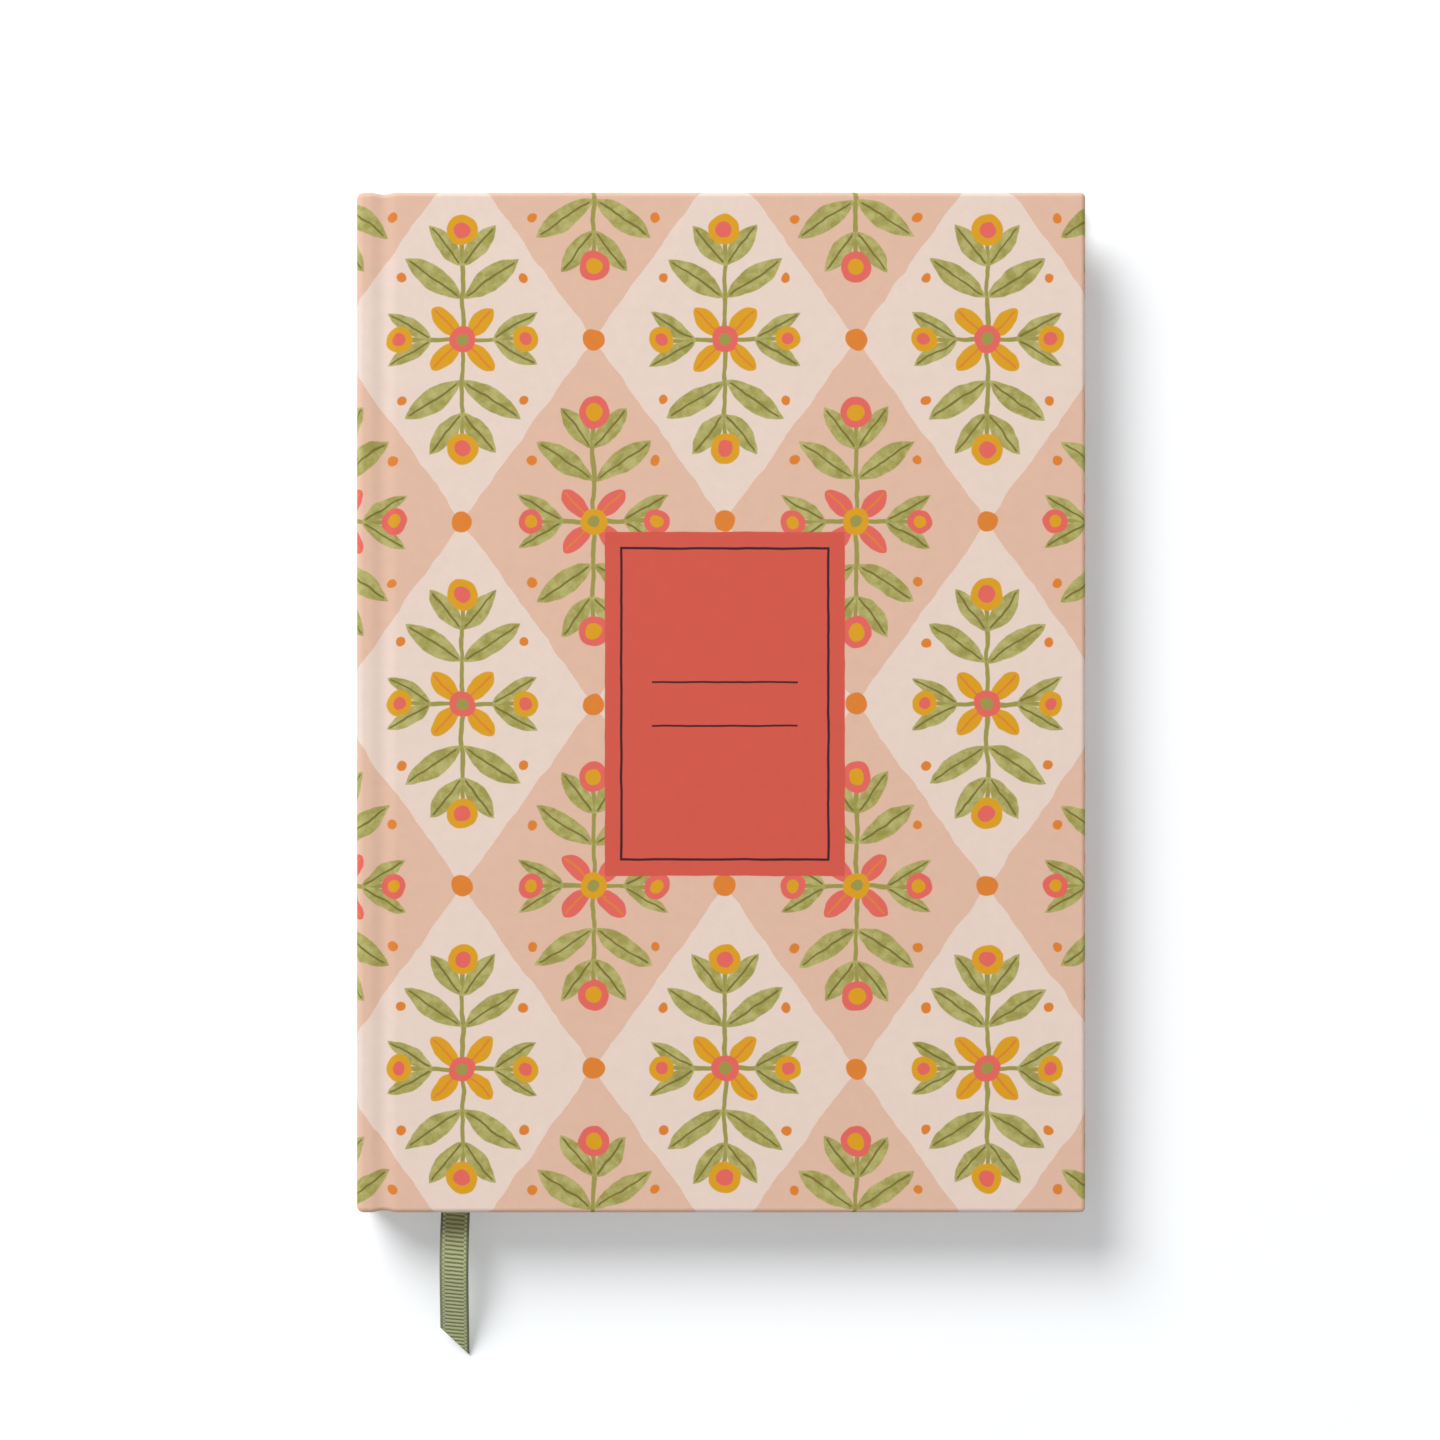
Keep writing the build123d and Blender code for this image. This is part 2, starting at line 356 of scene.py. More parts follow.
run = calc("MAXIMUM", calc("SUBTRACT", reach, given["Fold Zone"]), 0.0)
back = calc("MULTIPLY", calc("COSINE", angle), radius)
rise = calc("MULTIPLY", calc("MULTIPLY", calc("SINE", angle), radius), side)
leaf_number = calc("MULTIPLY_ADD", sheet, 2.0, side)
shake = node(
    "FunctionNodeRandomValue",
    {"Min": (-1, -1, 0), "Max": (1, 1, 0), "ID": leaf_number, "Seed": given["Seed"]},
    data_type="FLOAT_VECTOR",
)
loose = calc("MINIMUM", calc("DIVIDE", run, given["Free Length"]), 1.0)
moved = scaled(shake, calc("MULTIPLY", loose, given["Jitter"]))
folded_x = calc("ADD", given["Fold X"], calc("SUBTRACT", run, back))
folded_z = calc("ADD", given["Middle"], rise)
folded_place = node("ShaderNodeCombineXYZ", {0: folded_x, 1: flat_y, 2: folded_z})
folded = node("GeometryNodeSetPosition", {"Geometry": real, "Position": folded_place, "Offset": moved})
thick = add(
    fold_tree,
    "GeometryNodeExtrudeMesh",
    {"Mesh": folded, "Offset Scale": given["Thickness"], "Individual": False},
    mode="FACES",
)
under = node("GeometryNodeFlipFaces", {"Mesh": folded})
papered = node("GeometryNodeSetMaterial", {"Geometry": thick.outputs["Mesh"], "Material": given["Page"]})
edged = node(
    "GeometryNodeSetMaterial",
    {"Geometry": papered, "Selection": thick.outputs["Side"], "Material": given["Edge"]},
)
lined = node("GeometryNodeSetMaterial", {"Geometry": under, "Material": given["Page"]})
whole = add(fold_tree, "GeometryNodeJoinGeometry")
for half in (edged, lined):
    link(half, whole.inputs[0])
closed = node("GeometryNodeMergeByDistance", {"Geometry": whole.outputs[0], "Distance": weld_distance})
link(closed, fold_out.inputs[0])


def arc(centre, radius, start, end):
    """Points along an arc in plan, from one angle in degrees to another."""
    steps = [math.radians(start + (end - start) * k / corner_points) for k in range(corner_points + 1)]
    return [(centre[0] + radius * math.cos(a), centre[1] + radius * math.sin(a)) for a in steps]


def tab_outline(step):
    """A tab in plan, out from the cut-back edge: a hollow corner, a round corner and the trimmed edges."""
    fore, head = block_high.x, block_high.y
    if step <= block_low.y + tab_corner_radius:
        return [(cut_back, block_low.y), (fore, block_low.y), (fore, head), (cut_back, head)]
    hollow = arc((cut_back + step_corner_radius, step - step_corner_radius), step_corner_radius, 180, 90)
    bulge = arc((fore - tab_corner_radius, step + tab_corner_radius), tab_corner_radius, -90, 0)
    return hollow + bulge + [(fore, head), (cut_back, head)]


def leaf_columns(start, end):
    """Places across a leaf: close together where it bends at the gutter, and far apart on the page."""
    close = [start + (gutter_end - start) * k / gutter_columns for k in range(gutter_columns + 1)]
    curled = [gutter_end + (leaf_curl * k / curl_columns) for k in range(1, curl_columns + 1)]
    return close + curled + [0.0, end]


def flat_sheet(pair, step):
    """One sheet of a section, opened out flat about its fold, with both its leaves cut to the same step."""
    bm = bmesh.new()
    places = {}

    def corner(reach, y, side):
        key = (round(side * reach, 7), round(y, 7))
        if key not in places:
            places[key] = bm.verts.new((side * reach, y, 0.0))
        return places[key]

    def face(plan, side):
        ring = [corner(reach, y, side) for reach, y in plan]
        bm.faces.new(ring if side > 0 else ring[::-1])

    tail, head = block_low.y, block_high.y
    tab = [(x - fold_x + fold_zone, y) for x, y in tab_outline(step)]
    reaches = [fold_zone * k / fold_columns for k in range(fold_columns + 1)]
    reaches += [x - fold_x + fold_zone for x in leaf_columns(fold_x, cut_back)[1:]]
    for side in (1, -1):
        for near, far in zip(reaches, reaches[1:-1]):
            face([(near, tail), (far, tail), (far, head), (near, head)], side)
        last = [(reaches[-1], tail)] if tab[0][1] > tail else []
        face([(reaches[-2], tail)] + last + [tab[0], tab[-1], (reaches[-2], head)], side)
        face(tab, side)
    lay_flat(bm, lambda vertex: (fold_x + abs(vertex.co.x) - fold_zone, vertex.co.y))
    return new_piece(f"section_{pair}_leaves", bm)


for number, pair in enumerate(letter_pairs):
    section = f"section_{pair}"
    low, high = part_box(section)
    leaves = flat_sheet(pair, block_high.y - (number + 1) * tab_height)
    values = {
        "Sheets": sheets_in_section, "Thickness": leaf_thickness, "Pitch": leaf_pitch,
        "Fold Radius": section_half - leaf_thickness, "Fold Zone": fold_zone, "Fold X": fold_x,
        "Middle": (low.z + high.z) / 2, "Jitter": trim_jitter, "Free Length": free_length, "Seed": number,
        "Page": page_material, "Edge": edge_material,
    }
    grow(leaves, fold_tree, values)
    body = body_of_node[section]
    if body.startswith("leaves"):
        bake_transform(leaves)
    else:
        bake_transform(leaves)
    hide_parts(section)


# Index letters
# Two letters printed on each tab, one above the other, in a warm dark ink. They are thin raised shapes on
# the top leaf of their section.
letter_size = 0.0052
letter_gap = 0.0062
letter_thickness = 0.000008
letter_lift = 0.00001


def object_place(tree):
    """A place on a piece in metres, from its own coordinates."""
    return add(tree, "ShaderNodeTexCoord").outputs["Object"]


def letter_mesh(letter):
    """A letter as a mesh, centred on its own middle."""
    text = bpy.data.curves.new("letter_" + letter, "FONT")
    text.body = letter
    text.size = letter_size
    text.extrude = letter_thickness / 2
    text.align_x = "CENTER"
    text.align_y = "CENTER"
    shape = new_object("letter_" + letter, text)
    mesh = shown_mesh(shape)
    bpy.data.objects.remove(shape)
    return mesh


ink_material, tree, shader = new_material("index_ink", roughness=0.6)
ink_cloud = noise(object_place(tree), scale=900.0, detail=3)
link(mix(ink_cloud, srgb("5B3A33"), srgb("7C5A4C")), shader.inputs["Base Color"])

for body in ("front_block", "leaves_kl", "leaves_mn", "leaves_op", "back_cover"):
    bm = bmesh.new()
    for number, pair in enumerate(letter_pairs):
        if body_of_node[f"section_{pair}"] != body:
            continue
        middle_y = block_high.y - (number + 0.5) * tab_height
        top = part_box(f"section_{pair}")[1].z + letter_lift
        for letter, lift in ((pair[0], letter_gap / 2), (pair[1], -letter_gap / 2)):
            mesh = letter_mesh(letter.upper())
            for vertex in mesh.vertices:
                vertex.co += Vector((cut_back + tab_depth / 2, middle_y + lift, top))
            bm.from_mesh(mesh)
    bmesh.ops.remove_doubles(bm, verts=bm.verts, dist=weld_distance)
    letters = new_piece(f"index_letters_{body}", bm)
    letters.data.set_sharp_from_angle(angle=sharp_angle)
    letters.data.materials.append(ink_material)
    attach(letters, body)


# Endpapers
# A coloured uncoated sheet at each end of the block. Half of it is pasted down inside the cover and across
# the joint, and the other half is the free flyleaf, tipped to the first or last section at the gutter.
endpaper_thickness = 0.0002
paste_ramp = 0.0006
joint_ramp = 0.003
turn_in = 0.014
covering_thickness = 0.0003
cover_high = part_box("front_cover_wrap")[1]
turn_in_x = cover_high.x - covering_thickness - turn_in
turn_in_y = cover_high.y - covering_thickness - turn_in
endpaper_material, tree, shader = new_material("endpaper", roughness=0.75, specular=0.3)
finish_paper(shader, print_place(tree), srgb("D98E78"), mottle=0.1, relief=0.00002)


def sheet_slab(name, columns, rows, level, thickness):
    """A thin sheet with a closed edge, over a grid of places, at a level that a rule gives."""
    bm = bmesh.new()
    grid = [[bm.verts.new((x, y, level(x, y))) for y in rows] for x in columns]
    for a, b in zip(grid, grid[1:]):
        for k in range(len(rows) - 1):
            bm.faces.new((a[k], b[k], b[k + 1], a[k + 1]))
    upper = bmesh.ops.extrude_face_region(bm, geom=bm.faces[:], use_keep_orig=True)
    raised = [item for item in upper["geom"] if isinstance(item, bmesh.types.BMVert)]
    bmesh.ops.translate(bm, verts=raised, vec=(0, 0, thickness))
    # Put in a fixed order, because the extrusion's own order changes from run to run
    face_middle = bmesh.types.BMFace.calc_center_median
    for parts, middle in ((bm.verts, lambda vertex: vertex.co), (bm.faces, face_middle)):
        for k, part in enumerate(sorted(parts, key=lambda part: tuple(middle(part)))):
            part.index = k
        parts.sort()
    lay_flat(bm, lambda vertex: vertex.co.xy)
    piece = new_piece(name, bm)
    piece.data.set_sharp_from_angle(angle=sharp_angle)
    piece.data.materials.append(endpaper_material)
    return piece


def step_places(end, edge):
    """Places along a side of the pasted sheet, close together at the edge of the turn-in beneath it."""
    return [edge - paste_ramp, edge - paste_ramp / 2, edge, end]


for side, block_body, paste_bodies, paste_start in (
    ("front", "front_block", ("front_block", "front_cover"), fold_x),
    ("back", "back_cover", ("spine", "back_cover"), gutter_start),
):
    low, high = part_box(f"{side}_flyleaf")
    columns = leaf_columns(low.x, high.x)
    rows = [low.y, high.y]
    flyleaf = sheet_slab(f"{side}_flyleaf_sheet", columns, rows, lambda x, y: low.z, high.z - low.z)
    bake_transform(flyleaf)
    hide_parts(f"{side}_flyleaf")

    paste_low, paste_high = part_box(f"{side}_pastedown")
    inner = paste_low.z if side == "front" else paste_high.z - endpaper_thickness
    sink = covering_thickness if side == "front" else -covering_thickness

    def pasted_level(x, y):
        """Sunk onto the bare board inside the turn-ins, and level over them and across the joint."""
        depth = min((turn_in_x - x) / paste_ramp, (turn_in_y - abs(y)) / paste_ramp)
        from_joint = (x - gutter_end) / joint_ramp
        share = max(0.0, min(1.0, depth, from_joint))
        return inner + sink * share * share * (3 - 2 * share)

    along_y = step_places(paste_high.y, turn_in_y)
    rows = [-y for y in reversed(along_y)] + along_y
    columns = leaf_columns(fold_x, 0.0)[:-1] + step_places(paste_high.x, turn_in_x)
    pasted = sheet_slab(f"{side}_pastedown_sheet", columns, rows, pasted_level, endpaper_thickness)
    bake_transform(pasted)
    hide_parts(f"{side}_pastedown")


# Back of the block
# Starched open gauze is glued to the folds, with a strip of brown kraft paper over it. Both stay hidden in
# the hollow of the spine until the book is opened flat.
gauze_material, tree, shader = new_material("mull_gauze", roughness=0.9, specular=0.2)
place = object_place(tree)
threads = []
for direction, thread_scale in (("Y", 900.0), ("Z", 700.0)):
    wave = {"Vector": place, "Scale": thread_scale, "Distortion": 0.6}
    threads.append(result(tree, "ShaderNodeTexWave", wave, bands_direction=direction))
weave = calc("MAXIMUM", *threads)
link(mix(weave, srgb("B9AE93"), srgb("EFE9DA")), shader.inputs["Base Color"])
roughen(shader, weave, strength=0.6, distance=0.0001)


def show_in(material, *nodes):
    """Gives CAD nodes that stay in view a material of their own."""
    for name in nodes:
        materials = frame["nodes"][name].data.materials
        materials.clear()
        materials.append(material)


kraft_material, tree, shader = new_material("kraft_liner", roughness=0.8, specular=0.25)
place = scaled(object_place(tree), millimetres)
finish_paper(shader, place, srgb("A97F55"), mottle=0.25, relief=0.00003)
show_in(gauze_material, "mull")
show_in(kraft_material, "spine_liner")


# Boards
# Grey millboard cut for the two covers and the spine. The covering and the endpapers close it in on all
# sides, so it gives the covers their stiffness and isn't seen itself.
board_material, tree, shader = new_material("greyboard", roughness=0.9, specular=0.2)
place = scaled(object_place(tree), millimetres)
finish_paper(shader, place, srgb("8F877A"), mottle=0.3, relief=0.00005)
show_in(board_material, "front_board", "back_board", "spine_board")


# Headbands
# A cloth tape glued to the back of the block at the head and at the tail. Its beaded edge, wound with thread
# in two colours, sits on the ends of the leaves.
bead_radius = 0.00078
bead_inset = 0.0008
bead_sides = 14
thread_radius = 0.0001
thread_pitch = 0.00021
thread_sides = 6
thread_slant = 0.12
threads_in_repeat = 8
thread_material, tree, shader = new_material("headband_thread", roughness=0.65, specular=0.3)
place = object_place(tree)
height = add(tree, "ShaderNodeSeparateXYZ", {0: place}).outputs[2]
stripe = calc("FRACT", calc("MULTIPLY", height, 1 / (thread_pitch * threads_in_repeat)))
stripe = calc("GREATER_THAN", stripe, 0.5)
twist = noise(place, scale=9000.0, detail=2)
cream_thread = mix(twist, srgb("E9DFC8"), srgb("F7F1E4"))
coral_thread = mix(twist, srgb("C8695A"), srgb("DD8270"))
link(mix(stripe, cream_thread, coral_thread), shader.inputs["Base Color"])

tape_material, tree, shader = new_material("headband_tape", roughness=0.85, specular=0.2)
wave = {"Vector": object_place(tree), "Scale": 800.0, "Distortion": 1.0}
weave = result(tree, "ShaderNodeTexWave", wave, bands_direction="DIAGONAL")
link(mix(weave, srgb("D8CDB4"), srgb("F0E8D6")), shader.inputs["Base Color"])
roughen(shader, weave, strength=0.4, distance=0.00005)
show_in(tape_material, "headband", "tailband")

bead_tree, bead_in, bead_out = new_tree(
    "Wound bead",
    "GeometryNodeTree",
    {
        "Geometry": "Geometry", "Start": "Vector", "Length": "Float", "Pitch": "Float",
        "Bead Radius": "Float", "Thread Radius": "Float", "Thread": "Material",
    },
    {"Geometry": "Geometry"},
)
given = bead_in.outputs
node = partial(result, bead_tree)
turns = calc("FLOOR", calc("DIVIDE", given["Length"], given["Pitch"]))
offset = node("ShaderNodeCombineXYZ", {2: given["Pitch"]})
places = node(
    "GeometryNodeMeshLine",
    {"Count": turns, "Start Location": given["Start"], "Offset": offset},
    mode="OFFSET",
)
circle = partial(node, "GeometryNodeCurvePrimitiveCircle")
loop = circle({"Resolution": bead_sides, "Radius": given["Bead Radius"]})
strand = circle({"Resolution": thread_sides, "Radius": given["Thread Radius"]})
turn = node("GeometryNodeCurveToMesh", {"Curve": loop, "Profile Curve": strand})
wound = node(
    "GeometryNodeInstanceOnPoints",
    {"Points": places, "Instance": turn, "Rotation": (0.0, thread_slant, 0.0)},
)
real = node("GeometryNodeRealizeInstances", {"Geometry": wound})
dressed = node("GeometryNodeSetMaterial", {"Geometry": real, "Material": given["Thread"]})
link(dressed, bead_out.inputs[0])

for name, end in (("headband", 1), ("tailband", -1)):
    low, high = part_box(name)
    bead_y = high.y - bead_inset if end > 0 else low.y + bead_inset
    bead = new_piece(f"{name}_bead", bmesh.new())
    values = {
        "Start": (low.x + bead_inset, bead_y, low.z + thread_pitch), "Length": high.z - low.z - thread_pitch,
        "Pitch": thread_pitch, "Bead Radius": bead_radius, "Thread Radius": thread_radius,
        "Thread": thread_material,
    }
    grow(bead, bead_tree, values)
    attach(bead, "spine")


# Ribbon marker
# A sage green ribbed ribbon, 6 mm wide, fixed in the gutter at the head. It lies on its page, springs up a
# little where it leaves the tail and droops to the table, with its end cut on a slant.
ribbon_width = 0.006
ribbon_thickness = 0.00022
rib_pitch = 0.0009
rib_height = 0.0001
rib_skew = 0.09
rib_fullness = 0.7
ribbon_columns = 10
steps_per_rib = 6
short_end = -0.1306
long_end = -0.1369
page_level = 0.007395
page_run = [
    (-0.06763, 0.09996), (-0.063693, 0.06528), (-0.057978, 0.01224), (-0.055184, -0.04488),
    (-0.05493, -0.0816), (-0.055184, -0.102),
]
free_run = [
    (-0.055247, -0.10549, 0.007468), (-0.055355, -0.111423, 0.009721), (-0.055457, -0.117007, 0.009503),
    (-0.055571, -0.123289, 0.007104), (-0.055819, -0.1369, 0.000125),
]
ribbon_points = [(x, y, page_level) for x, y in page_run] + free_run
route = bpy.data.curves.new("ribbon_route", "CURVE")
route.dimensions = "3D"
line = route.splines.new("NURBS")
line.points.add(len(ribbon_points) - 1)
for point, spot in zip(line.points, ribbon_points):
    point.co = (*spot, 1.0)
line.order_u = 3
line.use_endpoint_u = True
line.resolution_u = 40
route_object = new_object("ribbon_route", route)
ribbon_path = [vertex.co.copy() for vertex in shown_mesh(route_object).vertices]

# Its cloth: pale ribs with dark lines between them, a row of small loops at their ends and a dull selvedge.
# The two rib colours are the thread's own sage with painted light and shade: lit on the crests, shaded in the
# valleys between them
# The rib colours: a lit copy of the sage for the crests, and a shaded copy, painted shade, for the valleys
# between the ribs
rib_crest_lit = srgb("BABF92")
rib_valley_shaded = srgb("777E4D")
loop_light = srgb("C5CAA2")
selvedge = srgb("7B8160")
selvedge_width = 0.5
loop_width = 0.5
cloth_softness = 0.2
rib_line_share = 0.45
rib_line_softness = 0.7
rib_waver = 0.3
thread_contrast = 0.5
thread_stretch = (0.5, 7.0, 1.0)
loop_shade = 0.8
loop_sharpness = 3.0
selvedge_shade = 0.35
half_ribbon = ribbon_width * millimetres / 2
ribbon_material, tree, shader = new_material("sage_grosgrain", roughness=0.6, specular=0.3)
shader.inputs["Sheen Weight"].default_value = 0.1
place = print_place(tree)
along, sideways = flat_parts(place)
slanted = calc("MULTIPLY_ADD", sideways, rib_skew, along)
slanted = calc("MULTIPLY_ADD", noise(place, scale=0.7, detail=2), rib_waver, slanted)
rib_turn = calc("MULTIPLY", slanted, 2 * math.pi / (rib_pitch * millimetres))
rib_crest = calc("MULTIPLY_ADD", calc("COSINE", rib_turn), 0.5, 0.5)
thread_run = result(tree, "ShaderNodeMapping", {"Vector": place, "Scale": thread_stretch})
threads = noise(thread_run, scale=1.0, detail=3)
rib_share = calc("MULTIPLY_ADD", calc("SUBTRACT", threads, 0.5), thread_contrast, rib_crest)
on_rib = soft_step(rib_share, rib_line_share, rib_line_softness)
# Painted light and shade on the ribs: the lit colour on their crests and the shaded colour in the valleys
# between them
cloth_colour = mix(on_rib, rib_valley_shaded, rib_crest_lit)
from_edge = calc("SUBTRACT", half_ribbon, calc("ABSOLUTE", sideways))
loop_share = calc("MULTIPLY", calc("SUBTRACT", 1.0, rib_crest), loop_shade)
loop_colour = mix(loop_share, rib_crest_lit, loop_light)
loop_colour = mix(calc("POWER", rib_crest, loop_sharpness), loop_colour, selvedge)
on_loops = within(from_edge, selvedge_width + loop_width, cloth_softness)
cloth_colour = mix(on_loops, cloth_colour, loop_colour)
selvedge_colour = mix(calc("MULTIPLY", rib_crest, selvedge_shade), selvedge, rib_valley_shaded)
on_selvedge = within(from_edge, selvedge_width, cloth_softness)
cloth_colour = mix(on_selvedge, cloth_colour, selvedge_colour)
link(cloth_colour, shader.inputs["Base Color"])
roughen(shader, threads, strength=0.35, distance=0.00006)

# The tree that weaves it: a strip along the route, raised into ribs, with its flat place as its map
rib_tree, rib_in, rib_out = new_tree(
    "Ribbed ribbon",
    "GeometryNodeTree",
    {
        "Geometry": "Geometry", "Route": "Object", "Width": "Float", "Columns": "Int", "Rib Pitch": "Float",
        "Rib Height": "Float", "Rib Skew": "Float", "Steps": "Int", "Cloth": "Material",
    },
    {"Geometry": "Geometry"},
)
given = rib_in.outputs
node = partial(result, rib_tree)
source = add(rib_tree, "GeometryNodeObjectInfo", {"Object": given["Route"]}).outputs["Geometry"]
step = calc("DIVIDE", given["Rib Pitch"], given["Steps"])
fine = node("GeometryNodeResampleCurve", {"Curve": source, "Length": step}, mode="LENGTH")
level = node("GeometryNodeSetCurveNormal", {"Curve": fine}, mode="Z_UP")
curve_length = add(rib_tree, "GeometryNodeSplineParameter").outputs["Length"]
measured = store(level, "along", curve_length)
half = calc("MULTIPLY", given["Width"], 0.5)
left = node("ShaderNodeCombineXYZ", {0: calc("MULTIPLY", half, -1.0)})
right = node("ShaderNodeCombineXYZ", {0: half})
breadth = node("GeometryNodeCurvePrimitiveLine", {"Start": left, "End": right})
across = node("GeometryNodeResampleCurve", {"Curve": breadth, "Count": given["Columns"]})
marked = store(across, "across", curve_length)
strip = node("GeometryNodeCurveToMesh", {"Curve": measured, "Profile Curve": marked})
along = stored(rib_tree, "along")
centred = calc("SUBTRACT", stored(rib_tree, "across"), half)
slanted = calc("MULTIPLY_ADD", centred, given["Rib Skew"], along)
phase = calc("DIVIDE", calc("MULTIPLY", slanted, 2 * math.pi), given["Rib Pitch"])
wave = calc("MULTIPLY_ADD", calc("COSINE", phase), 0.5, 0.5)
lift = calc("MULTIPLY", calc("POWER", wave, rib_fullness), given["Rib Height"])
raised = scaled(node("GeometryNodeInputNormal"), lift)
ribbed = node("GeometryNodeSetPosition", {"Geometry": strip, "Offset": raised})
flat_place = node("ShaderNodeCombineXYZ", {0: along, 1: centred})
mapped = store(ribbed, "UVMap", flat_place, "FLOAT2", "CORNER")
dressed = node("GeometryNodeSetMaterial", {"Geometry": mapped, "Material": given["Cloth"]})
link(dressed, rib_out.inputs[0])

ribbon = new_piece("ribbon", bmesh.new())
values = {
    "Route": route_object, "Width": ribbon_width, "Columns": ribbon_columns, "Rib Pitch": rib_pitch,
    "Rib Height": rib_height, "Rib Skew": rib_skew, "Steps": steps_per_rib, "Cloth": ribbon_material,
}
grow(ribbon, rib_tree, values)
bpy.data.objects.remove(route_object)
bm = bmesh.new()
bm.from_mesh(ribbon.data)
tip_x = ribbon_points[-1][0]
cut_along = Vector((ribbon_width, long_end - short_end, 0))
cut_across = Vector((-cut_along.y, cut_along.x, 0)).normalized()
bmesh.ops.bisect_plane(
    bm,
    geom=bm.verts[:] + bm.edges[:] + bm.faces[:],
    plane_co=(tip_x - ribbon_width / 2, short_end, 0),
    plane_no=-cut_across,
    clear_outer=True,
)
bm.to_mesh(ribbon.data)
bm.free()
ribbon.data.shade_smooth()
thickness = ribbon.modifiers.new("cloth_thickness", "SOLIDIFY")
thickness.thickness = ribbon_thickness
thickness.offset = -1.0 if sum(face.normal.z for face in ribbon.data.polygons) > 0 else 1.0
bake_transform(ribbon)
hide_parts("ribbon_marker")


# Printed covering
# Matt laminated printed paper, drawn round the boards and turned in on their inner faces. It dips into a
# groove on each side of the spine, where it bends, and its ends are drawn in over the ends of the spine.
print_blush = srgb("E2BBA4")
print_cream = srgb("EAD5C8")
print_mustard = srgb("DCA01F")
print_orange = srgb("DF8232")
print_coral = srgb("E4685E")
leaf_light = srgb("B9B471")
leaf_dark = srgb("9C964B")
vein_olive = srgb("777033")
label_red = srgb("D4594A")
label_ink = srgb("3A1A20")
diamond_width = 54.0
diamond_height = 75.0
hand_wobble = 1.6
label_wobble_share = 0.25
stem_up = 21.0
stem_out = 12.0
stem_width = 0.9
line_softness = 0.2
paint_softness = 0.25
paint_edge = 0.13
vein_half_width = 0.2
vein_start = 0.3
brush_softness = 0.35
brush_tone = 0.12
leaf_swell = 0.9
petal_swell = 0.55
label_centre = (0.8, -0.3)
label_half = (24.7, 35.4)
label_border = 3.4
label_border_half_width = 0.25
label_row_spacing = 9.0
label_row_half_length = 15.0
label_row_half_width = 0.2
label_line_softness = 0.15

# A painted leaf or petal: it has a root, a direction, a length and a width, and its ends are round where the
# swell is small and pointed where it is large
leaf_tree, leaf_in, leaf_out = new_tree(
    "Painted leaf",
    "ShaderNodeTree",
    {
        "X": "Float", "Y": "Float", "Root X": "Float", "Root Y": "Float", "Angle": "Float", "Length": "Float",
        "Width": "Float", "Swell": "Float",
    },
    {"Leaf": "Float", "Vein": "Float"},
)
given = leaf_in.outputs
off_x = calc("SUBTRACT", given["X"], given["Root X"])
off_y = calc("SUBTRACT", given["Y"], given["Root Y"])
cosine = calc("COSINE", given["Angle"])
sine = calc("SINE", given["Angle"])
forward = calc("MULTIPLY_ADD", off_x, cosine, calc("MULTIPLY", off_y, sine))
sideways = calc("SUBTRACT", calc("MULTIPLY", off_y, cosine), calc("MULTIPLY", off_x, sine))
sideways = calc("ABSOLUTE", sideways)
share = calc("MAXIMUM", calc("DIVIDE", forward, given["Length"]), 0.0)
share = calc("MINIMUM", share, 1.0)
bulge = calc("MULTIPLY", share, calc("SUBTRACT", 1.0, share))
bulge = calc("MULTIPLY", bulge, 4.0)
half_width = calc("MULTIPLY", given["Width"], 0.5)
half_width = calc("MULTIPLY", calc("POWER", bulge, given["Swell"]), half_width)
room = calc("SUBTRACT", half_width, sideways)
link(soft_step(room, paint_edge, paint_softness), leaf_out.inputs["Leaf"])
on_vein = within(sideways, vein_half_width, line_softness)
on_vein = calc("MULTIPLY", on_vein, soft_step(bulge, vein_start, line_softness))
link(on_vein, leaf_out.inputs["Vein"])


def vector_sum(operation, first, second):
    """The result of one sum on two vectors."""
    return result(first.id_data, "ShaderNodeVectorMath", {0: first, 1: second}, operation=operation)


# The flat print: diamonds in two colours with a mirrored sprig in each, and a plain red label over them
covering_material, tree, shader = new_material("printed_covering", roughness=0.6, specular=0.15)
place = print_place(tree)
centred = vector_sum("SUBTRACT", place, (*label_centre, 0))
shiver = add(tree, "ShaderNodeTexNoise", {"Vector": place, "Scale": 0.16, "Detail": 2})
wobble = vector_sum("SUBTRACT", shiver.outputs["Color"], (0.5, 0.5, 0.5))
wobble = scaled(wobble, hand_wobble)
painted = vector_sum("ADD", centred, wobble)
painted_x, painted_y = flat_parts(painted)
wide = calc("DIVIDE", painted_x, diamond_width)
tall = calc("DIVIDE", painted_y, diamond_height)
rising = calc("ADD", calc("ADD", wide, tall), 0.5)
falling = calc("ADD", calc("SUBTRACT", wide, tall), 0.5)
parity = calc("ADD", calc("FLOOR", rising), calc("FLOOR", falling))
parity = calc("FLOORED_MODULO", parity, 2.0)
rising = calc("SUBTRACT", calc("FRACT", rising), 0.5)
falling = calc("SUBTRACT", calc("FRACT", falling), 0.5)
local_x = calc("MULTIPLY", calc("ADD", rising, falling), diamond_width / 2)
local_y = calc("MULTIPLY", calc("SUBTRACT", rising, falling), diamond_height / 2)
mirror_x = calc("ABSOLUTE", local_x)
mirror_y = calc("ABSOLUTE", local_y)


def painted_leaf(root, angle, length, width, swell):
    """The masks of one leaf and of its vein, in the mirrored quarter of a diamond."""
    sizes = {
        "X": mirror_x, "Y": mirror_y, "Root X": root[0], "Root Y": root[1], "Angle": math.radians(angle),
        "Length": length, "Width": width, "Swell": swell,
    }
    return add(tree, "ShaderNodeGroup", sizes, node_tree=leaf_tree).outputs[:2]


